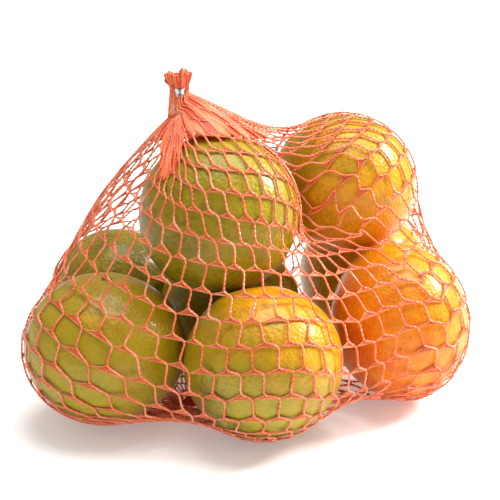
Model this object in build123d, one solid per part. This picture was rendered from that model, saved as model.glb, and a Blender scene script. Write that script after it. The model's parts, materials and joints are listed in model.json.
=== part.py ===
from build123d import *
import math
import os

import numpy as np

# A net bag of mandarins standing on its filled end. Millimetres, +Z up. The origin is on the ground
# under the middle of the bag, the neck leans to -X and the front of the bag faces -Y.

# ---------------------------------------------------------------- driving dimensions
NET_WALL = 1.0              # the net drawn as a skin: strand thickness
NET_GAP = 0.6               # skin to fruit
FLAT_BELOW = 1.5            # net this close to the ground is pressed flat on it

NECK_XY = (-30.4, 0.0)      # middle of the gathered neck
NECK_Z = 137.5              # where the spread net becomes a rope
NECK_R = 6.0                # outside radius of the skin there
BASE_XY = (0.6, 0.0)

CLIP_OUT = (7.6, 6.2)       # crimped clip, outside, X by Y
CLIP_WALL = 1.15
CLIP_H = 4.6
CLIP_Z = 140.2              # underside of the top clip
TUFT_TOP = 153.6

FOOT_XY = (-25.0, -21.0)     # the lower closure sits in the hollow between three fruits
POCKET_R = (12.5, 6.0)      # hollow in the underside, mouth and roof
POCKET_H = 14.0

BUTTON_R = 3.4              # stem button across its lobes
DIMPLE_R, DIMPLE_DEPTH = 8.0, 1.8

# name: centre, equator radius, half height, direction of the stem
FRUITS = {
    "front": ((6.4, -55.0, 35.7), 34.9, 33.4, (-0.15, 0.45, 0.88)),
    "left": ((-63.6, -37.8, 35.8), 36.0, 33.8, (0.04, 0.08, 1.0)),
    "right": ((68.6, -11.5, 37.8), 35.6, 31.2, (1.0, 0.15, 0.12)),
    "back_left": ((-64.6, 46.8, 31.1), 30.2, 28.8, (-0.4, 0.5, 0.75)),
    "back_centre": ((-8.5, 17.0, 33.6), 33.0, 31.4, (0.2, 0.5, 0.8)),
    "back_right": ((56.8, 58.1, 33.8), 32.4, 31.0, (0.5, 0.6, 0.55)),
    "top_left": ((-13.4, -17.7, 91.1), 35.7, 33.2, (0.1, 0.9, -0.42)),
    "top_right": ((44.1, 24.4, 91.7), 33.2, 31.8, (0.3, 0.55, 0.75)),
}

os.makedirs("parts", exist_ok=True)


def save(name, shape):
    """Write one piece to its own file."""
    solid = shape.solids()[0] if len(shape.solids()) == 1 else Compound(shape.solids())
    solid.label = name
    export_step(solid, f"parts/{name}.step")


# ---------------------------------------------------------------- fruit
def fruit_frame(name):
    """The fruit's own plane: middle of the fruit, Z along its stem."""
    centre, _, _, stem = FRUITS[name]
    return Plane(origin=centre, z_dir=stem)


def fruit_profile(radius, half):
    """Half outline of a mandarin from the bottom dimple, round the equator, to the stem dimple."""
    points = []
    for k in range(25):
        turn = -math.pi / 2 + math.pi * k / 24
        r = radius * math.cos(turn)
        dip = DIMPLE_DEPTH * math.exp(-((r / DIMPLE_R) ** 2) * 1.6)
        z = half * math.sin(turn)
        points.append((max(r, 0.0), z - math.copysign(dip, z)))
    points[0] = (0.0, points[0][1])
    points[-1] = (0.0, points[-1][1])
    return points


def make_fruit(name):
    _, radius, half, _ = FRUITS[name]
    points = fruit_profile(radius, half)
    with BuildPart() as fruit:
        with BuildSketch(Plane.XZ):
            with BuildLine():
                Spline(*points, tangents=[(1, 0), (-1, 0)])
                Line(points[-1], points[0])
            make_face()
        revolve(axis=Axis.Z)
    return fruit_frame(name).location * fruit.part


def make_button(name):
    """Five blunt lobes round a small raised scar, lying in the stem dimple."""
    _, radius, half, _ = FRUITS[name]
    floor = half - DIMPLE_DEPTH
    lobes = []
    for k in range(40):
        turn = 2 * math.pi * k / 40
        r = BUTTON_R * (0.80 + 0.20 * math.cos(5 * turn))
        lobes.append((r * math.cos(turn), r * math.sin(turn)))
    with BuildPart() as button:
        with BuildSketch(Plane.XY.offset(floor + 0.35)):
            with BuildLine():
                Spline(*lobes, periodic=True)
            make_face()
        extrude(amount=0.7)
        with BuildSketch(Plane.XY.offset(floor + 0.35)):
            Circle(1.3)
        extrude(amount=1.25)
    return fruit_frame(name).location * button.part


# ---------------------------------------------------------------- the net as a skin
# The skin finds its shape as a real net does: rings of points run from the neck, over the fruit and
# under it to the lower closure. Each point is pulled to the mean of its neighbours and held out by fruit.
AROUND, RINGS = 40, 34
TURNS = np.arange(AROUND) * 2 * math.pi / AROUND
# a roomy bag to start from: radius, height and how far the middle has moved from neck (0) to foot (1)
START = ((NECK_R, NECK_Z, 0.0), (55.0, 137.0, 0.3), (110.0, 110.0, 0.5), (130.0, 50.0, 0.5),
         (120.0, 4.0, 0.5), (80.0, 0.0, 0.6), (POCKET_R[0], 0.0, 1.0))
HEART = (4.0, 0.0, 58.0)    # a point inside the pile; each point of the net moves to and from it
SLACK_RINGS = (7, 19)       # hoops loosen towards the neck between these rings
HOOP_PULL, SLACK_PULL = 0.6, 0.05
BILLOW = 0.13               # outward drift of the loose side, away from the leaning pile
SAG = 0.50                  # the gathered net droops between the neck and the far top fruit
SAMPLES = [(s / 4, t / 4) for s in range(4) for t in range(5)]


def start_rings():
    profile = np.array(START)
    run = np.concatenate([[0], np.cumsum(np.hypot(*np.diff(profile[:, :2], axis=0).T))])
    at = np.linspace(0, run[-1], RINGS)
    radius, height, shift = (np.interp(at, run, column) for column in profile.T)
    stops = np.array([NECK_XY, BASE_XY, FOOT_XY])
    x, y = (np.interp(shift, [0, 0.5, 1], stops[:, k]) for k in (0, 1))
    rings = [[(cx + r * math.cos(t), cy + r * math.sin(t), z) for t in TURNS]
             for r, z, cx, cy in zip(radius, height, x, y)]
    return np.array(rings)


def depth_in_fruit(points, grow):
    """How deep each point lies in the fruit grown by so much, as a vector straight out of it."""
    out = np.zeros_like(points)
    for centre, radius, half, stem in FRUITS.values():
        axis = np.array(stem) / np.linalg.norm(stem)
        off = points - np.array(centre)
        along = off @ axis
        across = off - along[..., None] * axis
        a, c = radius + grow, half + grow
        share = np.sqrt((across**2).sum(axis=-1) / a**2 + along**2 / c**2)
        deep = np.clip(1 - share, 0, 1) * a
        slope = across / a**2 + along[..., None] * axis / c**2
        slope /= np.maximum(np.linalg.norm(slope, axis=-1, keepdims=True), 1e-9)
        push = deep[..., None] * slope
        deeper = (push**2).sum(axis=-1) > (out**2).sum(axis=-1)
        out[deeper] = push[deeper]
    return out


def fruit_reach(ways):
    """Distance from the heart of the bag to the far side of the outermost fruit each way."""
    best = np.zeros(ways.shape[:2])
    for centre, radius, half, stem in FRUITS.values():
        axis = np.array(stem) / np.linalg.norm(stem)
        a, c = radius + NET_GAP + NET_WALL, half + NET_GAP + NET_WALL
        metric = (np.eye(3) - np.outer(axis, axis)) / a**2 + np.outer(axis, axis) / c**2
        off = np.array(HEART) - np.array(centre)
        p = np.einsum("jik,kl,jil->ji", ways, metric, ways)
        q, s = ways @ metric @ off, off @ metric @ off - 1
        root = np.sqrt(np.maximum(q * q - p * s, 0))
        best = np.maximum(best, np.where(q * q > p * s, (root - q) / p, 0))
    return best


def relax(rings):
    """Pull the net tight over the fruit and flat on the ground; its first and last rings stay."""
    heart = np.array(HEART)
    reach = np.linalg.norm(rings - heart, axis=-1)
    ways = (rings - heart) / reach[..., None]
    held = fruit_reach(ways)
    ground = np.where(ways[..., 2] < -1e-6, -HEART[2] / np.minimum(ways[..., 2], -1e-6), 1e6)
    tight = np.interp(np.arange(1, RINGS - 1), SLACK_RINGS, (0, 1))[:, None, None]
    hoop = SLACK_PULL + (HOOP_PULL - SLACK_PULL) * tight
    lee = np.clip(-np.cos(TURNS), 0, 1)[None, :] ** 2
    lid = np.interp(np.arange(1, RINGS - 1), (0, 2, 6, 11), (0, 1, 1, 0))[:, None]
    droop = SAG * lid * np.clip(np.cos(TURNS) + 0.3, 0, 1)[None, :]
    for _ in range(2500):
        up_down = rings[2:] + rings[:-2]
        round_ = np.roll(rings[1:-1], 1, axis=1) + np.roll(rings[1:-1], -1, axis=1)
        pulled = (up_down + hoop * round_) / (2 + 2 * hoop) - heart
        reach = (pulled * ways[1:-1]).sum(axis=-1)
        reach += BILLOW * lee * np.clip((rings[1:-1, :, 2] - 45) / 30, 0, 1) - droop
        reach = np.minimum(np.maximum(reach, held[1:-1]), ground[1:-1])
        rings[1:-1] = heart + reach[..., None] * ways[1:-1]
    return rings


def outward(rings):
    """Unit normals of the ring net, pointing out of the bag."""
    down = np.gradient(rings, axis=0)
    round_ = np.roll(rings, -1, axis=1) - np.roll(rings, 1, axis=1)
    normal = np.cross(down, round_)
    return normal / np.linalg.norm(normal, axis=-1, keepdims=True)


def inside_of(rings):
    """The inner side of the skin."""
    inner = rings - NET_WALL * outward(rings)
    inner[..., 2] = np.maximum(inner[..., 2], NET_WALL)
    for ring, middle, grow in ((0, NECK_XY, -NET_WALL), (-1, FOOT_XY, NET_WALL)):
        inner[ring] = rings[ring]
        away = rings[ring, :, :2] - np.array(middle)
        inner[ring, :, :2] += grow * away / np.linalg.norm(away, axis=-1, keepdims=True)
    inner[-1, :, 2] = NET_WALL
    return inner


def clear_of_fruit(rings):
    """Move the flat facets out wherever their inner side would still cut a fruit."""
    for _ in range(80):
        inner = inside_of(rings)
        move = np.zeros_like(rings)
        for s, t in SAMPLES:
            side = inner * (1 - s) + np.roll(inner, -1, axis=1) * s
            push = depth_in_fruit(side[:-1] * (1 - t) + side[1:] * t, NET_GAP)
            for corner in (push, np.roll(push, 1, axis=1)):
                for part in (move[:-1], move[1:]):
                    deeper = (corner**2).sum(axis=-1) > (part**2).sum(axis=-1)
                    part[deeper] = corner[deeper]
        if np.abs(move).max() < 0.02:
            break
        rings[1:-1] += 0.6 * move[1:-1]
        rings[..., 2] = np.maximum(rings[..., 2], 0)
    return rings


def facets(upper, lower):
    """Band of triangles between two rings; a ring of one point closes to a fan."""
    for k in range(AROUND):
        n = (k + 1) % AROUND
        a, b = lower[k % len(lower)], lower[n % len(lower)]
        c, d = upper[k % len(upper)], upper[n % len(upper)]
        if a != b:
            yield a, b, c
        if c != d:
            yield b, d, c


def foot_ring(radius, z):
    x, y = FOOT_XY
    return [(x + radius * math.cos(t), y + radius * math.sin(t), z) for t in TURNS]


def make_net():
    """One closed surface: down the outside, into the pocket, and back up the inside to the neck."""
    outer = clear_of_fruit(relax(start_rings()))
    outer[..., 2] = np.where(outer[..., 2] < FLAT_BELOW, 0.0, outer[..., 2])
    inner = inside_of(outer)
    down = [[tuple(p) for p in ring] for ring in outer.tolist()]
    down += [foot_ring(POCKET_R[1], POCKET_H), [(*FOOT_XY, POCKET_H)]]
    back = [[tuple(p) for p in ring] for ring in inner.tolist()]
    back += [foot_ring(POCKET_R[1] + NET_WALL, POCKET_H + NET_WALL), [(*FOOT_XY, POCKET_H + NET_WALL)]]
    triangles = [t for upper, lower in zip(down, down[1:]) for t in facets(upper, lower)]
    triangles += [t for upper, lower in zip(back, back[1:]) for t in facets(upper, lower)]
    triangles += facets(back[0], down[0])
    faces = [Face(Wire.make_polygon([Vector(*p) for p in t])) for t in triangles]
    return Solid(Shell(faces))


# ---------------------------------------------------------------- gathers, clips and cut ends
def bundle(xy, sections):
    """Gathered netting: rounded sections stacked at the given heights."""
    x, y = xy
    with BuildPart() as rope:
        for z, rx, ry in sections:
            with BuildSketch(Plane.XY.offset(z)):
                Ellipse(rx, ry)
        loft()
    return Pos(x, y, 0) * rope.part


def make_clip(z):
    """Flat metal staple bent round the gather: a closed ring with a butt seam at the front."""
    with BuildPart() as ring:
        with BuildSketch(Plane.XY.offset(z)):
            RectangleRounded(*CLIP_OUT, 2.6)
            RectangleRounded(CLIP_OUT[0] - 2 * CLIP_WALL, CLIP_OUT[1] - 2 * CLIP_WALL, 1.5, mode=Mode.SUBTRACT)
            with Locations((0.0, -CLIP_OUT[1] / 2 + CLIP_WALL / 2)):
                Rectangle(0.35, CLIP_WALL * 1.6, mode=Mode.SUBTRACT)
        extrude(amount=CLIP_H)
        fillet(ring.faces().filter_by(Axis.Z).edges().filter_by(Axis.Z, reverse=True), 0.25)
    return ring.part


def make_tuft():
    """Cut end of the net above the clip: a flat fan with two points."""
    x, y = NECK_XY
    z = CLIP_Z + CLIP_H
    outline = [(-2.1, z - 1.5), (-2.2, z), (-3.6, z + 3.2), (-6.6, TUFT_TOP - 1.8), (-3.4, TUFT_TOP - 1.0),
               (-1.0, TUFT_TOP - 2.9), (3.4, TUFT_TOP), (4.6, TUFT_TOP - 0.9), (3.1, z + 4.0), (2.2, z), (2.1, z - 1.5)]
    with BuildPart() as tuft:
        with BuildSketch(Plane.XZ):
            Polygon(*outline, align=None)
        extrude(amount=1.5, both=True)
        fillet(tuft.edges().filter_by(Axis.Y), 0.3)
    return Pos(x, y, 0) * tuft.part


save("net_body", make_net())

x, y = NECK_XY
neck = bundle(NECK_XY, [(NECK_Z - 3.2, 2.6, 2.6), (NECK_Z - 1.6, 4.2, 4.0), (NECK_Z + 0.6, 4.4, 4.0),
                        (CLIP_Z - 0.6, 3.0, 2.4), (CLIP_Z + 0.4, 2.5, 1.8), (CLIP_Z + CLIP_H - 1.7, 2.4, 1.7)])
save("net_neck", neck)
save("top_clip", Pos(x, y, 0) * make_clip(CLIP_Z))
save("net_tuft", make_tuft())

fx, fy = FOOT_XY
foot = bundle(FOOT_XY, [(5.2, 2.4, 1.7), (9.6, 2.5, 1.8), (10.8, 3.4, 3.0), (13.0, 4.6, 4.4)])
save("foot_gather", foot)
save("foot_clip", Pos(fx, fy, 0) * make_clip(5.0))
tail = bundle(FOOT_XY, [(0.6, 6.0, 3.6), (2.2, 5.2, 3.0), (4.2, 2.8, 2.0), (4.9, 2.4, 1.7)])
save("foot_tail", tail)

for fruit_name in FRUITS:
    save(f"fruit_{fruit_name}", make_fruit(fruit_name))
    save(f"stem_{fruit_name}", make_button(fruit_name))
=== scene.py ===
# %% [markdown]
# # A net bag of mandarins
# A knitted net tube is stretched over a small pile of mandarins, gathered to a neck at the top and
# closed there with a crimped metal clip. The engineering model gives every piece its place and size;
# this lesson gives each piece the surface that the eye expects.

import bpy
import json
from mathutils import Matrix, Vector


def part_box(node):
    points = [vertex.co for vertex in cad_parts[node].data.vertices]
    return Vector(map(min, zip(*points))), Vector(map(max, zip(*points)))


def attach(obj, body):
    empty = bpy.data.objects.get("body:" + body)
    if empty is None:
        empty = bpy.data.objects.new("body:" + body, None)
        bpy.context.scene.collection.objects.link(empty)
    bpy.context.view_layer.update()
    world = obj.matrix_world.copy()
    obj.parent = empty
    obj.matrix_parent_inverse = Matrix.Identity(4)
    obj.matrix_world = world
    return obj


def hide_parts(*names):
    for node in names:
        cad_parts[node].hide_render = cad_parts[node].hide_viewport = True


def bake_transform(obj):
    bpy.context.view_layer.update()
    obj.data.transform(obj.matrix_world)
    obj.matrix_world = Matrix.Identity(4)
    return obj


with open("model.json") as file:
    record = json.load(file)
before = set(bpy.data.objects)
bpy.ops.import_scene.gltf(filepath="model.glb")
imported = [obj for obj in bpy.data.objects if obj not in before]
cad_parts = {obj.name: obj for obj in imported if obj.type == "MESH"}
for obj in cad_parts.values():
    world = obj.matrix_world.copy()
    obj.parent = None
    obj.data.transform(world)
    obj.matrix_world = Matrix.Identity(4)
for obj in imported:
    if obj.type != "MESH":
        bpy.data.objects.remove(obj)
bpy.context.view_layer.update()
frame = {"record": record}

import json
import math

import bpy
import numpy as np
from mathutils import Matrix, Vector

MM = 0.001
record = frame["record"]
joints = {joint["name"]: joint for joint in record["behaviour"]["joints"]}

# %% [markdown]
# The camera comes first, because the sizes of small details are chosen for what it can see. It is a
# long lens, nearly a metre away, looking slightly down at the middle of the bag. The standard view
# transform keeps white paper white and the peel's colours bright.

# %% Camera
AIM = Vector((0.0006, -0.006, 0.070))
CAMERA_DISTANCE = 0.900
CAMERA_TILT = math.radians(20)
camera_data = bpy.data.cameras.new("camera")
camera_data.lens = 143.3
camera_data.sensor_width = 36
camera = bpy.data.objects.new("camera", camera_data)
bpy.context.collection.objects.link(camera)
camera.location = AIM + CAMERA_DISTANCE * Vector((0, -math.cos(CAMERA_TILT), math.sin(CAMERA_TILT)))
camera.rotation_euler = (math.pi / 2 - CAMERA_TILT, 0, 0)
bpy.context.scene.camera = camera
bpy.context.scene.view_settings.view_transform = "Standard"
print("camera at", [round(v, 3) for v in camera.location])

# %% [markdown]
# Blender's operators act on whatever is selected, so a few small helpers keep the selection tidy, turn
# lists of points in millimetres into a mesh, make its faces look outwards, and apply a modifier as soon as
# it is set.

# %% Small helpers for selecting and building


def deselect():
    """Nothing selected: operators act on all that is selected."""
    bpy.ops.object.select_all(action="DESELECT")


def pick(obj):
    """Only this object selected and active."""
    deselect()
    obj.select_set(True)
    bpy.context.view_layer.objects.active = obj


def mesh_piece(name, vertices_mm, faces):
    """A new smooth object from points in millimetres."""
    mesh = bpy.data.meshes.new(name)
    mesh.from_pydata((np.asarray(vertices_mm) * MM).tolist(), [], faces)
    mesh.validate()
    obj = bpy.data.objects.new(name, mesh)
    bpy.context.collection.objects.link(obj)
    mesh.shade_smooth()
    return obj


def turn_outward(obj):
    """Make every face of a closed mesh look outwards."""
    pick(obj)
    bpy.ops.object.mode_set(mode="EDIT")
    bpy.ops.mesh.select_all(action="SELECT")
    bpy.ops.mesh.normals_make_consistent(inside=False)
    bpy.ops.object.mode_set(mode="OBJECT")


def apply_modifier(obj, kind, **settings):
    """Add a modifier, set it and apply it."""
    pick(obj)
    modifier = obj.modifiers.new(kind.lower(), kind)
    for key, value in settings.items():
        setattr(modifier, key, value)
    bpy.ops.object.modifier_apply(modifier=modifier.name)


# %% [markdown]
# The bag stands on a sheet of white paper in a bright white room, so light comes from nearly everywhere.
# A wide soft box hangs above, and a smaller, stronger one stands to the upper right. It puts the gloss on
# the fruits' right shoulders.

# %% Floor and lights
FLOOR_SIZE = 6.0            # metres; most of the sheet lies behind the bag
WORLD_STRENGTH = 0.47
deselect()
bpy.ops.mesh.primitive_plane_add(size=FLOOR_SIZE, location=(0, FLOOR_SIZE / 5, 0))
floor = bpy.context.object
floor.name = "floor"

world = bpy.data.worlds.new("white_room")
bpy.context.scene.world = world
world.use_nodes = True
world.node_tree.nodes["Background"].inputs["Color"].default_value = (1.0, 1.0, 1.0, 1.0)
world.node_tree.nodes["Background"].inputs["Strength"].default_value = WORLD_STRENGTH


def area_light(name, place, size, power, colour=(1, 1, 1)):
    """A round soft box aimed at the bag."""
    light = bpy.data.lights.new(name, "AREA")
    light.shape = "DISK"
    light.size = size
    light.energy = power
    light.color = colour
    obj = bpy.data.objects.new(name, light)
    bpy.context.collection.objects.link(obj)
    obj.location = place
    obj.rotation_euler = (AIM - Vector(place)).to_track_quat("-Z", "Y").to_euler()


area_light("key", (0.88, 0.28, 0.68), 0.36, 19.0, (1.0, 0.99, 0.96))
area_light("top", (0.10, 0.10, 1.20), 0.90, 14.0)

# %% [markdown]
# Colours are written as the sRGB values a painter would pick, and one function turns them into the
# linear numbers that the renderer wants. Materials are built from nodes, with one helper that adds a
# node, sets it and wires it.

# %% Colour and node helpers


def tint(code):
    """An sRGB hex colour as linear RGBA."""
    parts = [int(code[k:k + 2], 16) / 255 for k in (1, 3, 5)]
    return tuple(v / 12.92 if v <= 0.04045 else ((v + 0.055) / 1.055) ** 2.4 for v in parts) + (1.0,)


def add_node(material, kind, inputs=None, stops=(), **settings):
    """One node: settings are its properties, inputs are values or links by socket name or number, and
    stops are the (place, hex) colours of a ramp."""
    node = material.node_tree.nodes.new("ShaderNode" + kind)
    for key, value in settings.items():
        setattr(node, key, value)
    for key, value in (inputs or {}).items():
        if isinstance(value, bpy.types.NodeSocket):
            material.node_tree.links.new(value, node.inputs[key])
        else:
            node.inputs[key].default_value = value
    for number, (place, code) in enumerate(stops):
        elements = node.color_ramp.elements
        element = elements[number] if number < 2 else elements.new(place)
        element.position, element.color = place, tint(code)
    return node


def new_material(name, **shader):
    """A material with its principled shader set; returns both."""
    material = bpy.data.materials.new(name)
    material.use_nodes = True
    principled = material.node_tree.nodes["Principled BSDF"]
    for key, value in shader.items():
        principled.inputs[key.replace("_", " ")].default_value = value
    return material, principled


def wire(material, output, shader, socket):
    """Feed a node's output into one of the shader's sockets."""
    material.node_tree.links.new(output, shader.inputs[socket])


# %% [markdown]
# The floor is white paper: matt, with a very faint fibre so it isn't a perfect blank. It glows a little of
# its own, as backdrop paper does when it is lit from behind.

# %% Paper
PAPER_FIBRE = 0.0025        # metres
paper, paper_shader = new_material("matt_white_paper", Roughness=0.85, Emission_Strength=0.26)
coords = add_node(paper, "TexCoord")
fibre = add_node(paper, "TexNoise", {"Vector": coords.outputs["Object"], "Scale": 1 / PAPER_FIBRE,
                                     "Detail": 3.0})
whites = add_node(paper, "ValToRGB", {"Fac": fibre.outputs["Fac"]}, stops=[
    (0.3, "#FAFAF8"), (0.7, "#FFFFFF")])
wire(paper, whites.outputs["Color"], paper_shader, "Base Color")
floor.data.materials.append(paper)
print("floor:", paper.name)

# %% [markdown]
# ## The fruit
# A mandarin is a slightly flattened ball with a shallow dimple at each end. The skin is waxy and full of
# oil glands, a millimetre or so apart, and the whole fruit has broad low bumps. One fruit is shaped in
# edit mode; the others are copies turned to their own stems, each with bumps of its own.

# %% The first mandarin
deselect()
bpy.ops.mesh.primitive_uv_sphere_add(segments=96, ring_count=56, radius=1.0, location=(0, 0, 0))
master = bpy.context.object
master.name = "mandarin"
DIMPLE_SHARE = 0.052        # depth of the dimples against the fruit's radius
for pole in (1, -1):
    bpy.ops.object.mode_set(mode="EDIT")
    bpy.ops.mesh.select_all(action="DESELECT")
    bpy.ops.object.mode_set(mode="OBJECT")
    for vertex in master.data.vertices:
        vertex.select = vertex.co.z * pole > 0.9995
    bpy.ops.object.mode_set(mode="EDIT")
    bpy.ops.transform.translate(value=(0, 0, -pole * DIMPLE_SHARE), use_proportional_edit=True,
                                proportional_edit_falloff="SMOOTH", proportional_size=0.30)
    bpy.ops.object.mode_set(mode="OBJECT")
print("mandarin faces:", len(master.data.polygons))

# %% [markdown]
# Each fruit's middle and stem come from the frame's joints, and its two radii from its box. The box of a
# turned spheroid follows from both radii, so three widths are enough to solve for two numbers.

# %% Where each fruit lies
FRUIT_NAMES = [name for name in record["behaviour"]["bodies"] if f"{name}_turn" in joints]


def fruit_facts(name):
    """Middle, largest radius, half height along the stem, and the stem's direction, in millimetres."""
    joint = joints[f"{name}_turn"]
    low, high = (np.array(corner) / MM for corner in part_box(f"fruit_{name}"))
    stem = np.array(joint["axis"], float)
    stem /= np.linalg.norm(stem)
    widths = (high - low) / 2
    table = np.stack([1 - stem**2, stem**2], axis=1)
    squares = np.linalg.lstsq(table, widths**2, rcond=None)[0]
    return np.array(joint["pos_m"], float) / MM, math.sqrt(squares[0]), math.sqrt(squares[1]), stem


fruits = {name: fruit_facts(name) for name in FRUIT_NAMES}
for name, (middle, radius, half, stem) in fruits.items():
    print(f"{name:12s} middle {np.round(middle, 1)} radius {radius:.1f} half height {half:.1f}")

# %% [markdown]
# Mandarins are picked green and turn yellow, then orange. Each point of each fruit carries a number for
# how ripe it is, from 0, green, to 1, deep orange, and the peel's colour is read from it. Sun falls on one
# cheek, so each fruit has a ripe side and a green side. The number carries painted shade too: the back
# left fruit lies in shadow and is set almost to 0, the darkest olive of the peel.

# %% Shaping and placing the eight mandarins
# ripeness in the middle, how much it changes across the fruit, and the direction of the ripe cheek,
# with painted shade mixed in where a fruit lies in shadow
RIPENESS_AND_SHADE = {
    "front": (0.33, 0.36, (0.50, 0.10, 0.86)),
    "left": (0.24, 0.12, (0.2, -0.3, 0.9)),
    "right": (0.80, 0.16, (-0.5, -0.4, -0.5)),
    "top_left": (0.12, 0.14, (0.5, -0.3, 0.6)),
    "top_right": (0.50, 0.16, (0.8, -0.3, -0.4)),
    # painted shade: the back left fruit is set near 0 so that its peel takes the darkest olive, for a fruit
    # in shadow
    "back_left": (0.04, 0.06, (-0.5, 0.3, 0.4)),
    "back_centre": (0.20, 0.15, (0.1, 0.9, 0.1)),
    "back_right": (0.60, 0.20, (0.6, 0.5, -0.2)),
}
LUMP_SPACING = 0.022        # metres
LUMP_HEIGHT = 0.0009
lump_texture = bpy.data.textures.new("broad_lumps", "CLOUDS")
lump_texture.noise_scale = LUMP_SPACING
lump_texture.noise_depth = 1
mandarins, stem_frames = {}, {}
for name, (middle, radius, half, stem) in fruits.items():
    fruit = bpy.data.objects.new(f"mandarin_{name}", master.data.copy())
    bpy.context.collection.objects.link(fruit)
    turn = Vector(stem).to_track_quat("Z", "Y").to_matrix().to_4x4()
    stem_frames[name] = Matrix.Translation(Vector(middle) * MM) @ turn
    size = Matrix.Diagonal((radius * MM, radius * MM, half * MM, 1.0))
    fruit.data.transform(stem_frames[name] @ size)
    apply_modifier(fruit, "DISPLACE", texture=lump_texture, texture_coords="GLOBAL", strength=LUMP_HEIGHT,
                   mid_level=0.62)
    ripe_and_shade, change, cheek = RIPENESS_AND_SHADE[name]
    cheek = Vector(cheek).normalized()
    layer = fruit.data.attributes.new("ripe_and_shade", "FLOAT", "POINT")
    for vertex in fruit.data.vertices:
        side = (vertex.co - Vector(middle) * MM).normalized().dot(cheek)
        layer.data[vertex.index].value = ripe_and_shade + change * side
    fruit.data.shade_smooth()
    mandarins[name] = fruit
bpy.data.objects.remove(master)
print("mandarins:", len(mandarins))

# %% [markdown]
# Citrus peel: wax over tiny oil glands. The glands are small pits, one to one and a half millimetres
# apart, drawn a little coarser than life so that they show. They break up the shine. Colour runs along
# the ripeness number, painted shade included, shifted by blotches over a centimetre wide and by fine
# mottling.

# %% Colour of waxed citrus peel
GLAND_SPACING = 0.0016      # metres, as are the next three
FLECK = 0.0022              # fine mottling
BLOTCH = 0.014
SPECK_SPACING = 0.0075      # small brown specks where twigs have rubbed
peel, peel_shader = new_material("waxed_citrus_peel", Roughness=0.36, IOR=1.45, Specular_IOR_Level=0.28,
                                 Coat_Weight=0.22, Coat_Roughness=0.13, Subsurface_Weight=0.08,
                                 Subsurface_Scale=0.004)
coords = add_node(peel, "TexCoord")
where = coords.outputs["Object"]
ripe_and_shade = add_node(peel, "Attribute", attribute_name="ripe_and_shade")
blotch = add_node(peel, "TexNoise", {"Vector": where, "Scale": 1 / BLOTCH, "Detail": 4.0, "Roughness": 0.6})
fleck = add_node(peel, "TexNoise", {"Vector": where, "Scale": 1 / FLECK, "Detail": 2.0})
glands = add_node(peel, "TexVoronoi", {"Vector": where, "Scale": 1 / GLAND_SPACING}, feature="F1")
shift = add_node(peel, "MapRange", {"Value": blotch.outputs["Fac"], "From Min": 0.25, "From Max": 0.75,
                                    "To Min": -0.16, "To Max": 0.16})
grain = add_node(peel, "MapRange", {"Value": fleck.outputs["Fac"], "From Min": 0.3, "From Max": 0.7,
                                    "To Min": -0.06, "To Max": 0.06})
sum_one = add_node(peel, "Math", {0: ripe_and_shade.outputs["Fac"], 1: shift.outputs["Result"]}, operation="ADD")
sum_two = add_node(peel, "Math", {0: sum_one.outputs[0], 1: grain.outputs["Result"]}, operation="ADD")
# the lowest stop is painted shade as well as green peel: it is dark enough for the fruit in shadow at the
# back left
skin_colour = add_node(peel, "ValToRGB", {"Fac": sum_two.outputs[0]}, stops=[
    (0.0, "#77680A"), (0.2, "#A08D12"), (0.4, "#AE8C10"), (0.6, "#DE9C10"), (0.8, "#E88A0E"),
    (1.0, "#DE680A")]).outputs["Color"]
print("peel colours run along", ripe_and_shade.attribute_name)

# %% [markdown]
# Each gland shows as a slightly darker dot, and here and there a twig has rubbed a small brown speck.

# %% Dots and specks
pit = add_node(peel, "MapRange", {"Value": glands.outputs["Distance"], "From Min": 0.0, "From Max": 0.6,
                                  "To Min": 0.80, "To Max": 1.0})
dotted = add_node(peel, "Mix", {"Factor": 0.55, "A": skin_colour}, data_type="RGBA", blend_type="MULTIPLY")
grey = add_node(peel, "CombineColor", {channel: pit.outputs["Result"] for channel in range(3)})
peel.node_tree.links.new(grey.outputs["Color"], dotted.inputs["B"])
speck = add_node(peel, "TexVoronoi", {"Vector": where, "Scale": 1 / SPECK_SPACING}, feature="F1")
speck_edge = add_node(peel, "MapRange", {"Value": speck.outputs["Distance"], "From Min": 0.05,
                                         "From Max": 0.11, "To Min": 0.62, "To Max": 1.0})
freckled = add_node(peel, "VectorMath", {0: dotted.outputs["Result"]}, operation="SCALE")
peel.node_tree.links.new(speck_edge.outputs["Result"], freckled.inputs["Scale"])
wire(peel, freckled.outputs["Vector"], peel_shader, "Base Color")

# %% [markdown]
# The wax is duller on some blotches than on others. Two bumps give the relief: deep small pits for the
# glands and a slow wave for the blotches.

# %% Shine and relief
shine = add_node(peel, "MapRange", {"Value": blotch.outputs["Fac"], "To Min": 0.28, "To Max": 0.50})
wire(peel, shine.outputs["Result"], peel_shader, "Roughness")
deep = add_node(peel, "Bump", {"Height": glands.outputs["Distance"], "Strength": 0.7, "Distance": 0.00042})
wavy = add_node(peel, "Bump", {"Height": blotch.outputs["Fac"], "Strength": 0.35, "Distance": 0.0012,
                               "Normal": deep.outputs["Normal"]})
wire(peel, wavy.outputs["Normal"], peel_shader, "Normal")

# %% Peel on the fruits
for name, fruit in mandarins.items():
    fruit.data.materials.append(peel)
    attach(fruit, name)
    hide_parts(f"fruit_{name}")
print("peel on", len(mandarins), "fruits")

# %% [markdown]
# ## The stem buttons
# Where a mandarin is cut from the tree it keeps a dry star: five blunt lobes of the flower's calyx round
# a small woody scar. It is drawn once, a low disc whose rim is pushed in between the lobes, domed, with
# the scar inset and raised, then copied into each dimple.

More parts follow.
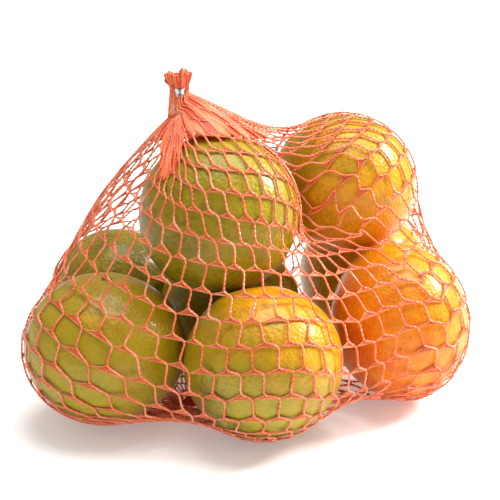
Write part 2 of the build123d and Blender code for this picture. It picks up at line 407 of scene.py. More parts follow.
# %% One stem button
deselect()
bpy.ops.mesh.primitive_circle_add(vertices=40, radius=1.0, fill_type="NGON", location=(0, 0, 0))
button = bpy.context.object
bpy.ops.object.mode_set(mode="EDIT")
bpy.ops.mesh.select_all(action="SELECT")
bpy.ops.mesh.inset(thickness=0.30)
bpy.ops.mesh.inset(thickness=0.28)
bpy.ops.transform.translate(value=(0, 0, 0.10))
bpy.ops.mesh.inset(thickness=0.06)
bpy.ops.transform.translate(value=(0, 0, 0.28))
bpy.ops.mesh.inset(thickness=0.12)
bpy.ops.transform.translate(value=(0, 0, -0.10))
bpy.ops.object.mode_set(mode="OBJECT")
for vertex in button.data.vertices:
    reach, angle = vertex.co.xy.length, math.atan2(vertex.co.y, vertex.co.x)
    if reach > 0.35:
        lobe = 0.78 + 0.22 * math.cos(5 * angle)
        vertex.co.xy *= 1 - (1 - lobe) * min((reach - 0.35) / 0.65, 1)
        vertex.co.z += 0.10 * math.cos(5 * angle) * reach - 0.10 * reach
apply_modifier(button, "SOLIDIFY", thickness=0.16, offset=-1.0)
apply_modifier(button, "SUBSURF", levels=1, render_levels=1)
button.data.shade_smooth()
print("button faces:", len(button.data.polygons))

# %% [markdown]
# The calyx is dry leaf: matt, fibrous, and olive going to brown, the one dark spot on each fruit.

# %% Eight stem buttons
BUTTON_RADIUS = 3.3         # mm
BUTTON_LIFT = 0.25          # mm above the bottom of the dimple
CALYX_FIBRE = 1 / 900       # metres, a little over a millimetre
dry_calyx, calyx_shader = new_material("dry_calyx", Roughness=0.72)
coords = add_node(dry_calyx, "TexCoord")
fibres = add_node(dry_calyx, "TexNoise", {"Vector": coords.outputs["Object"], "Scale": 1 / CALYX_FIBRE,
                                          "Detail": 5.0})
browns = add_node(dry_calyx, "ValToRGB", {"Fac": fibres.outputs["Fac"]}, stops=[
    (0.3, "#2B2410"), (0.5, "#4F4A1E"), (0.7, "#6E6430")])
wire(dry_calyx, browns.outputs["Color"], calyx_shader, "Base Color")
rough = add_node(dry_calyx, "Bump", {"Height": fibres.outputs["Fac"], "Strength": 0.6, "Distance": 0.0003})
wire(dry_calyx, rough.outputs["Normal"], calyx_shader, "Normal")
for name, (middle, radius, half, stem) in fruits.items():
    calyx = bpy.data.objects.new(f"calyx_{name}", button.data.copy())
    bpy.context.collection.objects.link(calyx)
    low = half * (1 - DIMPLE_SHARE) + BUTTON_LIFT
    lift = Matrix.Translation((0, 0, low * MM)) @ Matrix.Scale(BUTTON_RADIUS * MM, 4)
    calyx.data.transform(stem_frames[name] @ lift)
    calyx.data.materials.append(dry_calyx)
    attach(calyx, name)
    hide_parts(f"stem_{name}")
bpy.data.objects.remove(button)
print("stem buttons:", len(fruits))

# %% [markdown]
# ## The net's shape
# The net is one tube. Rings of points run from the neck over the fruit and under the bag to the lower
# closure. Every point is tied to a straight line from the heart of the pile and slides along it: its
# neighbours pull it in, fruit and ground hold it out. The pull round the bag is weak near the neck, where
# the tube has more netting than it needs, so the net runs straight there from the neck to the fruit.
# The sum is done on a coarse grid first and passed on to finer ones.

# %% Sizes of the net
neck_low, neck_high = (np.array(c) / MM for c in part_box("net_neck"))
foot_low, foot_high = (np.array(c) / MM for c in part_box("foot_gather"))
body_high = np.array(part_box("net_body")[1]) / MM
NECK = ((neck_low + neck_high) / 2)[:2]
FOOT = ((foot_low + foot_high) / 2)[:2]
NECK_Z = body_high[2] + 3.6
BASE = np.array([0.6, 0.0])
HEART = np.array([4.0, 0.0, 58.0])
THREAD = 0.62               # half thickness of a twisted strand
OFF_FRUIT = 0.25            # clear space between strand and peel
NECK_R, FOOT_R = 5.4, 4.0
BILLOW = 0.15               # how much the slack netting on the neck's side swells out
TILT = 9.5                  # the gather reaches lower on the neck's outer side
SAG = 1.1                   # how much the slack netting between the two top fruits hangs down
# shares of the way down the bag, and how strong each pull is there
HOOP_PULL = ((7 / 33, 19 / 33), (0.05, 0.6))
SAG_PULL = ((0, 2 / 33, 6 / 33, 11 / 33), (0, 1, 1, 0))
# the billow grows above the first height and fades below the second: height and span in mm
BILLOW_FROM, BILLOW_TO = (45, 30), (128, 40)
# the roomy bag that the pull starts from: ring radius, height, and share of the way from neck to foot
START = np.array([(NECK_R, NECK_Z, 0.0), (55.0, 137.0, 0.3), (110.0, 110.0, 0.5), (130.0, 50.0, 0.5),
                  (120.0, 4.0, 0.5), (80.0, 0.6, 0.6), (FOOT_R, 0.6, 1.0)])
GRIDS = ((50, 38, 2500), (100, 76, 500), (200, 152, 160))     # points around, rings, rounds of pulling
# folds near the neck, where surplus netting is bunched: direction, width and strength
FOLDS = ((-128, 15, 4.0), (2, 26, 4.0), (118, 34, 3.0))
FOLD_END = 0.30             # share of the way to the foot over which the folds open out
print("neck", NECK, "foot", FOOT)


# %% Directions of the wales
def wale_turns(around, along):
    """The direction of each wale at each ring: even at the belly, bunched into folds at the neck."""
    fine = np.linspace(-math.pi, math.pi, 1441)
    turns = []
    for s in along:
        strength = max(1 - s / FOLD_END, 0.0) ** 1.5
        density = np.ones_like(fine)
        for place, width, peak in FOLDS:
            gap = (np.degrees(fine) - place + 180) % 360 - 180
            density += strength * peak * np.exp(-(gap / width) ** 2)
        total = np.concatenate([[0], np.cumsum((density[1:] + density[:-1]) / 2)])
        share = total / total[-1]
        turns.append(np.interp(np.arange(around) / around, share, fine))
    return np.array(turns)


def start_rings(around, rings):
    """A roomy bag, its rings drifting from the neck's axis to the foot's."""
    run = np.concatenate([[0], np.cumsum(np.hypot(*np.diff(START[:, :2], axis=0).T))])
    at = np.linspace(0, run[-1], rings)
    radius, height, shift = (np.interp(at, run, column) for column in START.T)
    stops = np.array([NECK, BASE, FOOT])
    cx, cy = (np.interp(shift, [0, 0.5, 1], stops[:, k]) for k in (0, 1))
    turns = wale_turns(around, at / run[-1])
    x = cx[:, None] + radius[:, None] * np.cos(turns)
    y = cy[:, None] + radius[:, None] * np.sin(turns)
    z = height[:, None] - TILT * (1 - np.cos(turns)) / 2 * (np.arange(rings) == 0)[:, None]
    return np.stack([x, y, z], axis=2), turns


# %% Holding the net out
def fruit_reach(ways, grow):
    """Distance from the heart of the bag to the far side of the outermost fruit each way."""
    best = np.zeros(ways.shape[:2])
    for middle, radius, half, stem in fruits.values():
        a, c = radius + grow, half + grow
        metric = (np.eye(3) - np.outer(stem, stem)) / a**2 + np.outer(stem, stem) / c**2
        off = HEART - middle
        p = np.einsum("jik,kl,jil->ji", ways, metric, ways)
        q, s = ways @ metric @ off, off @ metric @ off - 1
        root = np.sqrt(np.maximum(q * q - p * s, 0))
        best = np.maximum(best, np.where(q * q > p * s, (root - q) / p, 0))
    return best


# %% Pulling the net in
def relax(around, rings, rounds, reach=None):
    """Slide every point along its own line until the net is tight; returns distances and directions."""
    start, turns = start_rings(around, rings)
    full = np.linalg.norm(start - HEART, axis=2)
    ways = (start - HEART) / full[..., None]
    if reach is None:
        reach = full.copy()
    reach[0], reach[-1] = full[0], full[-1]
    held = fruit_reach(ways, THREAD + OFF_FRUIT)
    downward = np.minimum(ways[..., 2], -1e-6)
    ground = np.where(downward < -1e-6, (THREAD - HEART[2]) / downward, 1e6)
    share = np.linspace(0, 1, rings)[1:-1]
    step = (GRIDS[0][1] / rings) ** 2
    hoop = np.interp(share, *HOOP_PULL)[:, None, None]
    lee = np.clip(-np.cos(turns[1:-1]), 0, 1) ** 2
    lid = np.interp(share, *SAG_PULL)[:, None]
    droop = SAG * step * lid * np.clip(np.cos(turns[1:-1]) + 0.3, 0, 1)
    (low, rise), (high, fall) = BILLOW_FROM, BILLOW_TO
    for _ in range(rounds):
        points = HEART + reach[..., None] * ways
        mid = points[1:-1]
        beside = np.roll(mid, 1, axis=1) + np.roll(mid, -1, axis=1)
        pulled = (points[2:] + points[:-2] + hoop * beside) / (2 + 2 * hoop) - HEART
        new = (pulled * ways[1:-1]).sum(axis=2)
        swell = np.clip((mid[..., 2] - low) / rise, 0, 1) * np.clip((high - mid[..., 2]) / fall, 0, 1)
        new += BILLOW * step * lee * swell - droop
        reach[1:-1] = np.minimum(np.maximum(new, held[1:-1]), ground[1:-1])
    return reach, ways


# %% From the coarse grid to the fine one
def finer(values, rings, around):
    """The same field on a finer grid."""
    old_rings, old_around = values.shape
    closed = np.concatenate([values, values[:, :1]], axis=1)
    wide = np.array([np.interp(np.arange(around) / around * old_around, np.arange(old_around + 1), row)
                     for row in closed])
    return np.array([np.interp(np.linspace(0, old_rings - 1, rings), np.arange(old_rings), column)
                     for column in wide.T]).T


reach = None
for around, rings, rounds in GRIDS:
    if reach is not None:
        reach = finer(reach, rings, around)
    reach, ways = relax(around, rings, rounds, reach)
form = HEART + reach[..., None] * ways
print("net form", form.shape, form.reshape(-1, 3).min(0).round(1), form.reshape(-1, 3).max(0).round(1))

# %% [markdown]
# Above the neck ring the same tube goes on as a rope through the clip and opens into a flat tuft with two
# points. These rings are simple ovals, stacked on top of the relaxed ones.

# %% Rope and tuft rings
# lift, height, lean, half width and half depth
TOP_RINGS = ((1.0, 149.9, -1.3, 5.7, 1.2), (0.85, 149.2, -1.3, 5.8, 2.0), (0.45, 147.4, -1.2, 5.1, 2.4),
             (0.15, 145.5, -0.9, 4.2, 2.4), (0.0, 143.8, -0.6, 3.9, 2.1), (0.0, 142.4, -0.3, 4.2, 2.4))
TUFT_POINTS = ((1.7, -0.58, 0.36), (3.3, 0.52, 0.46))     # height, place across and width of each point
ROPE_BACK = 0.4             # mm that the rope stands behind the middle of the neck


def top_ring(z, lean, rx, ry, turns, lift):
    """An oval ring of the rope; lift raises two rounded points above the notch between them."""
    across = np.cos(turns)
    x = NECK[0] + lean + rx * across
    y = NECK[1] + ROPE_BACK + ry * np.sin(turns)
    points = sum(tall * np.exp(-((across - place) / width) ** 2) for tall, place, width in TUFT_POINTS)
    return np.stack([x, y, z + lift * points], axis=1)


neck_turns = wale_turns(form.shape[1], [0.0])[0]
top = np.array([top_ring(z, lean, rx, ry, neck_turns, lift) for lift, z, lean, rx, ry in TOP_RINGS])
form = np.concatenate([top, form])
NECK_RING = len(TOP_RINGS)
print("rings with rope and tuft:", form.shape[0])

# %% [markdown]
# A knitted net has courses along the tube and wales round it. The courses keep one pitch from the neck
# down to the ground; what is left over goes under the bag, out of sight.

# %% Courses and wales
WALES = 50
COURSE = 11.4               # mm from one course to the next
COURSES = 28
TOP_COURSES = 1.4           # courses in the rope and tuft
PER_COURSE = 10             # grid lines kept per course
TURN_UNDER = 14.0           # height in mm below which the net is out of sight
SPARE_COURSES = 3.0         # at least this many go under the bag
EVEN_OUT = 30               # rounds of averaging between neighbouring wales
step_length = np.linalg.norm(np.diff(form, axis=0), axis=2)
run = np.concatenate([np.zeros((1, form.shape[1])), np.cumsum(step_length, axis=0)])
run -= run[NECK_RING]
belly = form[..., 2] > TURN_UNDER
seen = np.array([run[np.nonzero(belly[:, i])[0][-1], i] for i in range(form.shape[1])])
for _ in range(EVEN_OUT):
    seen = (np.roll(seen, 1) + seen + np.roll(seen, -1)) / 3
whole = run[-1]
rows = np.arange(-TOP_COURSES, COURSES + 1e-6, 1 / PER_COURSE)
cloth = np.zeros((len(rows), form.shape[1], 3))
for i in range(form.shape[1]):
    turn_row = min(seen[i] / COURSE, COURSES - SPARE_COURSES)
    s = np.interp(rows, [-TOP_COURSES, 0, turn_row, COURSES], [run[0, i], 0, seen[i], whole[i]])
    for k in range(3):
        cloth[:, i, k] = np.interp(s, run[:, i], form[:, i, k])
print("longest wale", whole.max().round(), "shortest", whole.min().round())
print("courses in sight", (seen / COURSE).round()[::25])

# %% [markdown]
# From here on a place on the net is given as on a knitted tube: so many wales round, so many courses down,
# and a lift away from the fruit in millimetres.

# %% Places on the net
across = np.roll(cloth, -1, axis=1) - np.roll(cloth, 1, axis=1)
down = np.gradient(cloth, axis=0)
normals = np.cross(across, down)
normals *= np.sign((normals * (cloth - HEART)).sum(axis=2, keepdims=True))
normals /= np.maximum(np.linalg.norm(normals, axis=2, keepdims=True), 1e-9)
print("grid of the net:", cloth.shape)


def on_cloth(u, row, lift=0.0):
    """Points of the net and its outward directions: u in wales, row in courses, lift in mm."""
    u = np.asarray(u, float) / WALES * cloth.shape[1]
    r = np.clip((np.asarray(row, float) + TOP_COURSES) * PER_COURSE, 0, cloth.shape[0] - 1.001)
    i0, j0 = np.floor(u).astype(int), np.floor(r).astype(int)
    a, b = (u - i0)[..., None], (r - j0)[..., None]
    i0, i1 = i0 % cloth.shape[1], (i0 + 1) % cloth.shape[1]

    def blend(grid):
        return ((1 - a) * (1 - b) * grid[j0, i0] + a * (1 - b) * grid[j0, i1]
                + (1 - a) * b * grid[j0 + 1, i0] + a * b * grid[j0 + 1, i1])
    facing = blend(normals)
    facing /= np.maximum(np.linalg.norm(facing, axis=-1, keepdims=True), 1e-9)
    return blend(cloth) + np.asarray(lift)[..., None] * facing, facing


# %% [markdown]
# ## The knit
# Twisted strands step down the tube like stairs: straight down for two thirds of a course, then across by
# half a wale. Each stair is joined to the strand beside it by a small triangle of thin film with a rolled
# edge, so what shows between is a row of rounded six-sided openings. Every knot is a little out of place,
# as in real netting.

# %% Knots
rng = np.random.default_rng(7)
SIDE = 0.66                 # share of a course that runs straight down
LEAN = 0.12                 # the straight part leans back by this share of a wale
DRIFT = 16                  # the knit is a spiral: its rows drop by this many courses in one turn
STRANDS = WALES + DRIFT // 2
SLOPE = DRIFT / WALES
STEPS = np.arange(-24, COURSES + 4)
STRAY = (0.055, 0.035, 0.055, 0.035)     # how far upper and lower knots stray, in wales and courses
CALM_COURSES, CALM_LEAST = 3, 0.15       # they stray less in the first courses, down to this share
wobble = rng.normal(0, STRAY, (STRANDS, STEPS.size, 4))


def knot(k, step, lower):
    """Place of a knot in wales and courses; strand number STRANDS is strand 0 again, one turn on."""
    turn = WALES if k == STRANDS else 0
    if k == STRANDS:
        k, step = 0, step + DRIFT
    u = k + step / 2
    row = step + SLOPE * u
    if lower:
        u, row = u - LEAN + SLOPE * 0.2, row + SIDE * (1 + SLOPE / 2)
    calm = min(max(row / CALM_COURSES, CALM_LEAST), 1)
    shift = wobble[k, min(max(step - STEPS[0], 0), STEPS.size - 1), 2 * lower:2 * lower + 2]
    return np.array([u + turn + shift[0] * calm, row + shift[1] * calm])


print("strands:", STRANDS)

# %% [markdown]
# Each strand is two plies wound round each other. A ply is a five-sided tube, which is plain enough for a
# net of this size and still catches the light along its twist.

# %% Paths and tubes
STRAND_STEP = 0.9           # mm between rings of a ply
TWIST_PITCH = 4.2           # mm for one turn of the two plies
PLY = 0.33                  # radius of one ply
PLY_OFFSET = 0.25           # from the strand's middle to the ply's
PLY_SIDES = 5
# courses, and how thick the strands are there: they are squeezed at the neck
CROWD = ([-TOP_COURSES, 0.0, 2.0], [0.45, 0.50, 1.0])


def smooth_path(u, row, count):
    """A rounded path through knots, evenly spaced, in wales and courses; also its length in mm."""
    points = on_cloth(u, row)[0]
    length = np.concatenate([[0], np.cumsum(np.linalg.norm(np.diff(points, axis=0), axis=1))])
    at = np.linspace(0, length[-1], count)
    u_even, row_even = np.interp(at, length, u), np.interp(at, length, row)
    for _ in range(3):
        u_even[1:-1] = (u_even[:-2] + 2 * u_even[1:-1] + u_even[2:]) / 4
        row_even[1:-1] = (row_even[:-2] + 2 * row_even[1:-1] + row_even[2:]) / 4
    return u_even, row_even, length[-1]


def tube(points, radius, sides, first):
    """Rings of a round tube along points, with faces that start counting at first."""
    along = np.gradient(points, axis=0)
    along /= np.maximum(np.linalg.norm(along, axis=1, keepdims=True), 1e-9)
    guide = np.where(np.abs(along[:, 2:]) > 0.9, np.array([[1.0, 0, 0]]), np.array([[0, 0, 1.0]]))
    side = np.cross(along, guide)
    for k in range(1, len(side)):
        if (side[k] * side[k - 1]).sum() < 0:
            side[k] *= -1
    side /= np.maximum(np.linalg.norm(side, axis=1, keepdims=True), 1e-9)
    other = np.cross(along, side)
    turn = np.arange(sides) * 2 * math.pi / sides
    radius = np.broadcast_to(radius, (len(points),))
    rings = points[:, None] + radius[:, None, None] * (
        np.cos(turn)[None, :, None] * side[:, None] + np.sin(turn)[None, :, None] * other[:, None])
    faces = []
    for k in range(len(points) - 1):
        base = first + k * sides
        faces += [(base + i, base + (i + 1) % sides, base + sides + (i + 1) % sides, base + sides + i)
                  for i in range(sides)]
    faces.append(tuple(first + i for i in range(sides))[::-1])
    faces.append(tuple(first + (len(points) - 1) * sides + i for i in range(sides)))
    return rings.reshape(-1, 3), faces


def tube_bundle(name, lines, sides):
    """One piece from many tubes, each given as its points and its radius."""
    vertices, faces, first = [], [], 0
    for points, radius in lines:
        tube_points, tube_faces = tube(points, radius, sides, first)
        vertices.append(tube_points)
        faces += tube_faces
        first += len(tube_points)
    return mesh_piece(name, np.concatenate(vertices), faces)


# %% Twisted strands
def strand_plies(k, phase):
    """The two plies of strand k, wound round each other."""
    knots = np.array([knot(k, step, lower) for step in STEPS for lower in (0, 1)])
    inside = (knots[:, 1] > -TOP_COURSES) & (knots[:, 1] < COURSES)
    u, row = knots[inside].T
    length = smooth_path(u, row, 50)[2]
    u, row, length = smooth_path(u, row, int(length / STRAND_STEP))
    centre, facing = on_cloth(u, row)
    along = np.gradient(centre, axis=0)
    along /= np.maximum(np.linalg.norm(along, axis=1, keepdims=True), 1e-9)
    side = np.cross(facing, along)
    crowd = np.interp(row, *CROWD)
    angle = phase + np.arange(len(u)) * (length / len(u)) * 2 * math.pi / TWIST_PITCH
    swing = PLY_OFFSET * (np.cos(angle)[:, None] * side + np.sin(angle)[:, None] * facing) * crowd[:, None]
    return [(centre + swing, PLY * crowd), (centre - swing, PLY * crowd)]


STRAND_SHARES = 4           # every fourth strand goes into one piece, to keep each piece light
strand_pieces = []
for part in range(STRAND_SHARES):
    plies = [ply for k in range(part, STRANDS, STRAND_SHARES)
             for ply in strand_plies(k, rng.uniform(0, 2 * math.pi))]
    piece = tube_bundle(f"net_strands_{part + 1}", plies, PLY_SIDES)
    strand_pieces.append(piece)
    print(piece.name, "faces", len(piece.data.polygons))

# %% [markdown]
# The film triangles hang between the stairs. Their free edges curve inwards, because the film is pulled
# from its three corners, and each free edge is rolled into a thin cord.

# %% Film triangles
FILM_CUTS = 4               # rows of faces in one triangle
FILM = 0.16                 # thickness of the film
FILM_LIFT = -0.12           # the film lies a little nearer the fruit than the strands
EDGE_CORD = 0.33            # radius of a rolled edge
CORD_SIDES = 4
HOLLOW = 0.07               # how far the free edges curve in
BASE_HOLLOWER = 1.6         # the base is the slackest edge and curves in this many times more
HEM = 0.3                   # no film closer than this to the first and last course


def film_corner_sets():
    """Corners of every film triangle: left knot, top knot, right knot."""
    for k in range(STRANDS):
        for step in STEPS[:-1]:
            yield knot(k, step + 1, 0), knot(k + 1, step, 1), knot(k + 1, step + 1, 0)


FILM_GRID = [(a, b) for a in range(FILM_CUTS + 1) for b in range(FILM_CUTS + 1 - a)]
PLACE = {spot: number for number, spot in enumerate(FILM_GRID)}
LEFT_EDGE = [PLACE[a, FILM_CUTS - a] for a in range(FILM_CUTS + 1)]
BASE_EDGE = [PLACE[a, 0] for a in range(FILM_CUTS + 1)]
FILM_FACES = []
for a in range(FILM_CUTS):
    for b in range(FILM_CUTS - a):
        FILM_FACES.append((PLACE[a, b], PLACE[a + 1, b], PLACE[a, b + 1]))
        if a + b < FILM_CUTS - 1:
            FILM_FACES.append((PLACE[a + 1, b], PLACE[a + 1, b + 1], PLACE[a, b + 1]))


def film_points(left, peak, right):
    """Points of one film triangle, its free edges curved in."""
    spots = []
    for a, b in FILM_GRID:
        wa, wb, wc = a / FILM_CUTS, b / FILM_CUTS, (FILM_CUTS - a - b) / FILM_CUTS
        spot = wa * left + wb * peak + wc * right
        sag_left = 4 * wa * wb * HOLLOW * (right - (left + peak) / 2)
        sag_base = 4 * wa * wc * HOLLOW * (peak - (left + right) / 2)
        spots.append(spot + sag_left * (1 - wc) + sag_base * (1 - wb) * BASE_HOLLOWER)
    u, row = np.array(spots).T
    return on_cloth(u, row, FILM_LIFT)[0]


vertices, faces, cords = [], [], []
first = 0
for left, peak, right in film_corner_sets():
    if min(peak[1], left[1]) < HEM or max(left[1], right[1]) > COURSES - HEM:
        continue
    points = film_points(left, peak, right)
    faces += [tuple(first + number for number in face) for face in FILM_FACES]
    vertices.append(points)
    cords += [points[LEFT_EDGE], points[BASE_EDGE]]
    first += len(points)
web = mesh_piece("net_web", np.concatenate(vertices), faces)
apply_modifier(web, "SOLIDIFY", thickness=FILM * MM, offset=0.0)
print("web faces", len(web.data.polygons))

# %% Rolled edges
edges = tube_bundle("net_edge_cords", [(line, EDGE_CORD) for line in cords], CORD_SIDES)
print("edge cord faces", len(edges.data.polygons))

# %% [markdown]
# ## The gathered neck
# Close to the clip there is no room for openings: film and strands lie on each other in pleats, as solid as
# cloth. A pleated skin stands for them, from the tip of the tuft down to where the first openings show. It
# reaches furthest along the folds.

# %% Pleated skin of the neck and tuft
PLEATS = 18
SKIN_COLUMNS = 240
SKIN_ROWS = 48
SKIN_SLOPE = (0.342, 0.94)  # the first openings lie on a sloping line: shares of depth and of height
SKIN_LEVEL = 121.0          # where that line crosses the neck's axis
SKIN_SHORTEST, SKIN_LONGEST = 0.5, 3.4     # courses
SKIN = 0.3                  # thickness in mm
LEFT_FOLD = (-130, 9, 20)   # direction and half width in degrees, and how much lower the skin reaches
column_u = np.arange(SKIN_COLUMNS) / SKIN_COLUMNS * WALES
column_turn = np.degrees(np.interp(column_u / WALES * form.shape[1], np.arange(form.shape[1]), neck_turns))


def skin_end(u, turn):
    """How many courses the solid skin reaches down at this wale; it is longest in the left fold."""
    place, width, depth = LEFT_FOLD
    longer = depth * math.exp(-(((turn - place + 180) % 360 - 180) / width) ** 2)
    down_rows = np.arange(0, SKIN_LONGEST, 0.05)
    spots = on_cloth(np.full(down_rows.size, u), down_rows)[0]
    level = SKIN_SLOPE[0] * (spots[:, 1] - NECK[1]) + SKIN_SLOPE[1] * (spots[:, 2] - SKIN_LEVEL)
    return down_rows[level > -longer].max(initial=SKIN_SHORTEST)


# %% [markdown]
# The skin's lower edge is a little ragged, and its pleats run down it like those of a curtain. Each point
# keeps how far out it lies in its pleat, for painted shade in the pleats and painted light on the ridges.

# %% Pleats
PLEAT = 0.55                # half depth of a pleat in mm
FINE_PLEATS = 37            # narrower pleats lie over the broad ones
PRESSED = 0.6               # the net's pull presses them to this share
ragged = np.array([skin_end(u, turn) for u, turn in zip(column_u, column_turn)])
ragged = (np.roll(ragged, 1) + ragged + np.roll(ragged, -1)) / 3 + rng.normal(0, 0.04, SKIN_COLUMNS)
ragged += 0.12 * np.cos(column_u * 2 * math.pi)
print("solid skin reaches down", ragged.min().round(2), "to", ragged.max().round(2), "courses")
share = np.linspace(0, 1, SKIN_ROWS)[:, None]
skin_row = -TOP_COURSES + share * (ragged[None, :] + TOP_COURSES)
skin_u = np.broadcast_to(column_u[None, :], skin_row.shape)
pleat_depth = PLEAT * np.interp(skin_row, [-TOP_COURSES, -0.6, 0.0, 1.2], [1.2, 0.5, 0.8, 0.9])
pleat = pleat_depth * (np.cos(PLEATS * 2 * math.pi * column_u / WALES + 0.8 * np.sin(3 * skin_row))
                       + 0.4 * np.cos(FINE_PLEATS * 2 * math.pi * column_u / WALES))
skin_lift = np.interp(skin_row, [0.0, 1.0], [-0.45, -0.22])     # its lower courses clear the fruit
skin_points = on_cloth(skin_u, skin_row, skin_lift + pleat * PRESSED)[0]
faces = []
for above in range(0, (SKIN_ROWS - 1) * SKIN_COLUMNS, SKIN_COLUMNS):
    below = above + SKIN_COLUMNS
    for i in range(SKIN_COLUMNS):
        n = (i + 1) % SKIN_COLUMNS
        faces.append((above + i, below + i, below + n, above + n))
crown = mesh_piece("net_crown", skin_points.reshape(-1, 3), faces)
# painted shade and light: this share makes the colour deep in the pleats and pale on the ridges
pleat_shading = 0.5 + 0.35 * pleat / np.maximum(pleat_depth, 0.1)       # about 0 in a pleat and 1 on a ridge
fold = crown.data.attributes.new("fold", "FLOAT", "POINT")
fold.data.foreach_set("value", pleat_shading.ravel())
apply_modifier(crown, "SOLIDIFY", thickness=SKIN * MM, offset=0.0)
print("crown faces", len(crown.data.polygons))

# %% [markdown]
# The net is polyethylene, drawn into tape, twisted and knitted. It is a bright orange that lets some light
# through, and each ply has a waxy shine along it, paler where it is worn.

# %% Twisted strand
STRAND_WEAR = 1 / 90        # metres: paler and darker stretches, about one to a course
DRAWN_FIBRE = 0.0004        # drawn plastic splits into fibres finer than this
net_strand, strand_shader = new_material("twisted_polyethylene_strand", Roughness=0.34, IOR=1.5,
                                         Subsurface_Weight=0.25, Subsurface_Scale=0.0012,
                                         Coat_Weight=0.60, Coat_Roughness=0.10)
strand_shader.inputs["Subsurface Radius"].default_value = (1.0, 0.4, 0.2)
coords = add_node(net_strand, "TexCoord")
wear = add_node(net_strand, "TexNoise", {"Vector": coords.outputs["Object"], "Scale": 1 / STRAND_WEAR,
                                         "Detail": 6.0, "Roughness": 0.75})
oranges = add_node(net_strand, "ValToRGB", {"Fac": wear.outputs["Fac"]}, stops=[
    (0.34, "#E4521F"), (0.5, "#F87648"), (0.64, "#FFA683")])
wire(net_strand, oranges.outputs["Color"], strand_shader, "Base Color")
fibre = add_node(net_strand, "TexNoise", {"Vector": coords.outputs["Object"], "Scale": 1 / DRAWN_FIBRE,
                                          "Detail": 2.0})
fuzz = add_node(net_strand, "Bump", {"Height": fibre.outputs["Fac"], "Strength": 0.3, "Distance": 0.0001})
wire(net_strand, fuzz.outputs["Normal"], strand_shader, "Normal")
print("strand:", net_strand.name)

# %% [markdown]
# Film one layer thick only tints what lies behind it. Its rolled edge is several layers, and nearly solid.

# %% Film and rolled edge
FILM_STREAK = 1 / 300       # metres: a few to each triangle
CORD_STREAK = 1 / 220
net_film, film_shader = new_material("clear_orange_film", Roughness=0.30, IOR=1.5, Alpha=0.55)
coords = add_node(net_film, "TexCoord")
wear = add_node(net_film, "TexNoise", {"Vector": coords.outputs["Object"], "Scale": 1 / FILM_STREAK,
                                       "Detail": 3.0})
oranges = add_node(net_film, "ValToRGB", {"Fac": wear.outputs["Fac"]}, stops=[
    (0.3, "#D4561E"), (0.7, "#EC7A3C")])
wire(net_film, oranges.outputs["Color"], film_shader, "Base Color")

net_cord, cord_shader = new_material("rolled_film_edge", Roughness=0.32, IOR=1.5, Alpha=0.85)
coords = add_node(net_cord, "TexCoord")
wear = add_node(net_cord, "TexNoise", {"Vector": coords.outputs["Object"], "Scale": 1 / CORD_STREAK,
                                       "Detail": 3.0})
oranges = add_node(net_cord, "ValToRGB", {"Fac": wear.outputs["Fac"]}, stops=[
    (0.3, "#E06A36"), (0.7, "#F89468")])
wire(net_cord, oranges.outputs["Color"], cord_shader, "Base Color")
print("film and edge:", net_film.name, net_cord.name)

# %% [markdown]
# Gathered netting is many layers of the same plastic. Light goes in and is scattered, so it glows. Its
# colour is also painted with shade and light: deep orange in the pleats and pale on their ridges.

# %% Gathered netting
CRUMPLE = 1 / 170           # metres: creases about as wide as a pleat
gathered, gathered_shader = new_material("gathered_polyethylene_net", Roughness=0.45, IOR=1.5,
                                         Subsurface_Weight=0.3, Subsurface_Scale=0.002)
gathered_shader.inputs["Subsurface Radius"].default_value = (1.0, 0.4, 0.2)
coords = add_node(gathered, "TexCoord")
wear = add_node(gathered, "TexNoise", {"Vector": coords.outputs["Object"], "Scale": 1 / CRUMPLE,
                                       "Detail": 7.0, "Roughness": 0.7})
# painted shade and light: the pleat share darkens the pleats and lightens the ridges, added to a random
# crumple
pleat_shading_node = add_node(gathered, "Attribute", attribute_name="fold")
crumple_and_pleat_shading = add_node(gathered, "Math", {0: wear.outputs["Fac"], 1: pleat_shading_node.outputs["Fac"]},
                     operation="ADD")
half_sum = add_node(gathered, "Math", {0: crumple_and_pleat_shading.outputs[0], 1: 0.5}, operation="MULTIPLY")
oranges = add_node(gathered, "ValToRGB", {"Fac": half_sum.outputs[0]}, stops=[
    (0.30, "#D93A10"), (0.48, "#EF5F2A"), (0.66, "#FA8450")])
wire(gathered, oranges.outputs["Color"], gathered_shader, "Base Color")
fuzz = add_node(gathered, "Bump", {"Height": wear.outputs["Fac"], "Strength": 0.6, "Distance": 0.0006})
wire(gathered, fuzz.outputs["Normal"], gathered_shader, "Normal")

# %% Net materials on their pieces
finishes = [(piece, net_strand) for piece in strand_pieces]
finishes += [(web, net_film), (edges, net_cord), (crown, gathered)]
for piece, material in finishes:
    turn_outward(piece)
    piece.data.materials.append(material)
print("net materials:", [m.name for m in (net_strand, net_film, net_cord, gathered)])

# %% [markdown]
# ## The clips
# The clip is a strip of soft aluminium bent round the gather and crimped until its ends meet. It starts as
# a short tube, is flattened to an oval, notched at the seam, and its edges are rounded.

# %% Crimped clip
CLIP_SIDES = 48
CLIP_WALL = 0.9             # mm
CLIP_EDGE = 0.22            # rounding of its edges in mm
NOTCH = (0.16, 0.16)        # half width of the seam's notch in radians, and its depth against the clip's
WAIST = 0.05                # how much the middle is drawn in


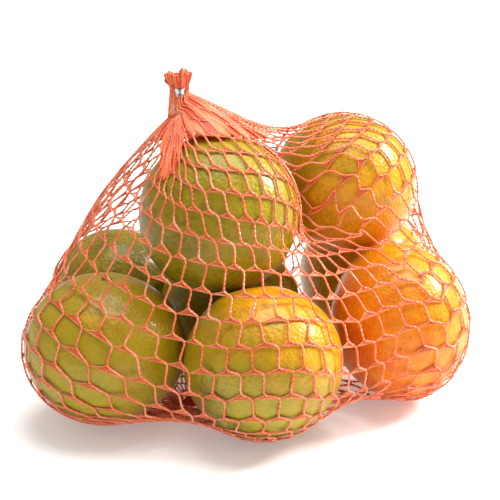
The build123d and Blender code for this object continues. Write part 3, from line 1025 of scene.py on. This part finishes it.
def crimped_clip(name, low, high):
    """A flattened aluminium ring that fills the given box in millimetres."""
    middle, size = (low + high) / 2, high - low
    deselect()
    bpy.ops.mesh.primitive_cylinder_add(vertices=CLIP_SIDES, radius=0.5, depth=1.0, end_fill_type="NOTHING")
    clip = bpy.context.object
    clip.name = name
    bpy.ops.object.mode_set(mode="EDIT")
    bpy.ops.mesh.select_all(action="SELECT")
    bpy.ops.mesh.subdivide(number_cuts=3)
    bpy.ops.object.mode_set(mode="OBJECT")
    for vertex in clip.data.vertices:
        turn = math.atan2(vertex.co.y, vertex.co.x)
        front = math.exp(-((turn + math.pi / 2) / NOTCH[0]) ** 2)
        vertex.co.y += NOTCH[1] * front
        vertex.co.xy *= 1 - WAIST * math.cos(vertex.co.z * 2 * math.pi)
    clip.data.transform(Matrix.Diagonal((*(size * MM), 1.0)))
    apply_modifier(clip, "SOLIDIFY", thickness=CLIP_WALL * MM, offset=-1.0)
    apply_modifier(clip, "BEVEL", width=CLIP_EDGE * MM, segments=2)
    clip.data.transform(Matrix.Translation(Vector(middle) * MM))
    turn_outward(clip)
    clip.data.shade_smooth()
    return clip


CLIP_SPARE = np.array([0.30, 0.0, 0.16])    # share of the clip's box left for the folds round it
clips = {}
for node, name in (("top_clip", "crimped_top_clip"), ("foot_clip", "crimped_foot_clip")):
    low, high = (np.array(c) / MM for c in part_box(node))
    spare = (high - low) * CLIP_SPARE / 2
    clips[node] = crimped_clip(name, low + spare, high - spare)
print("clips:", [clip.name for clip in clips.values()])

# %% [markdown]
# The strip is plain rolled aluminium, bright and a little scuffed where the crimping tool pressed it.

# %% Crimped aluminium
SCUFF = 1 / 700             # metres, finer than the clip is wide
aluminium, aluminium_shader = new_material("crimped_aluminium", Metallic=1.0, Roughness=0.22)
coords = add_node(aluminium, "TexCoord")
marks = add_node(aluminium, "TexNoise", {"Vector": coords.outputs["Object"], "Scale": 1 / SCUFF,
                                         "Detail": 4.0})
greys = add_node(aluminium, "ValToRGB", {"Fac": marks.outputs["Fac"]}, stops=[
    (0.3, "#9A9CA0"), (0.7, "#C8CACC")])
wire(aluminium, greys.outputs["Color"], aluminium_shader, "Base Color")
scuff = add_node(aluminium, "Bump", {"Height": marks.outputs["Fac"], "Strength": 0.4, "Distance": 0.0002})
wire(aluminium, scuff.outputs["Normal"], aluminium_shader, "Normal")
for clip in clips.values():
    clip.data.materials.append(aluminium)
print("clips are", aluminium.name)

# %% [markdown]
# ## The lower closure
# Out of sight under the bag the tube is gathered and clipped too. A short pleated rope comes down from the
# net and its cut end lies flat under the clip.

# %% Lower rope and cut end
POINTS_PER_PLEAT = 6
ROPE_RINGS = 22


def pleated_rope(name, sections, middle, pleats, depth):
    """A closed pleated form through oval sections given as (z, rx, ry)."""
    count = pleats * POINTS_PER_PLEAT
    turn = np.arange(count) * 2 * math.pi / count
    heights = np.linspace(sections[0][0], sections[-1][0], ROPE_RINGS)
    table = np.array(sections)
    points = []
    for z in heights:
        rx, ry = (np.interp(z, table[:, 0], table[:, k]) for k in (1, 2))
        wave = 1 + depth * np.cos(pleats * turn + 0.4 * z)
        points.append(np.stack([middle[0] + rx * wave * np.cos(turn), middle[1] + ry * wave * np.sin(turn),
                                np.full(count, z)], axis=1))
    faces = []
    for j in range(len(heights) - 1):
        for i in range(count):
            n = (i + 1) % count
            faces.append((j * count + i, j * count + n, (j + 1) * count + n, (j + 1) * count + i))
    faces.append(tuple(range(count))[::-1])
    faces.append(tuple((len(heights) - 1) * count + i for i in range(count)))
    rope = mesh_piece(name, np.concatenate(points), faces)
    turn_outward(rope)
    rope.data.materials.append(gathered)
    return rope


tail_low, tail_high = (np.array(c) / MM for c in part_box("foot_tail"))
ROPE = [(foot_low[2], 2.2, 1.5), (9.6, 2.3, 1.6), (foot_high[2], 4.2, 4.0)]
CUT_END = [(tail_low[2], 5.6, 3.2), (2.2, 4.6, 2.6), (tail_high[2], 2.0, 1.4)]
lower_rope = pleated_rope("lower_rope", ROPE, FOOT, 9, 0.10)
lower_end = pleated_rope("lower_cut_end", CUT_END, FOOT, 11, 0.14)
print("lower closure:", lower_rope.name, lower_end.name)

# %% [markdown]
# ## Joining the model to the frame
# The neck can flop to either side on its gather. Here the film, its edges, the lower closure and the lower
# clip ride with the net, the top clip rides with the neck, and the strands and the pleated skin stay put.

# %% Riding and hiding
for piece in strand_pieces + [crown]:
    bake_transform(piece)
for piece in (web, edges, lower_rope, lower_end, clips["foot_clip"]):
    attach(piece, "net")
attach(clips["top_clip"], "neck")
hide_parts("net_body")
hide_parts("net_neck", "net_tuft")
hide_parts("top_clip")
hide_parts("foot_clip")
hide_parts("foot_gather")
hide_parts("foot_tail")
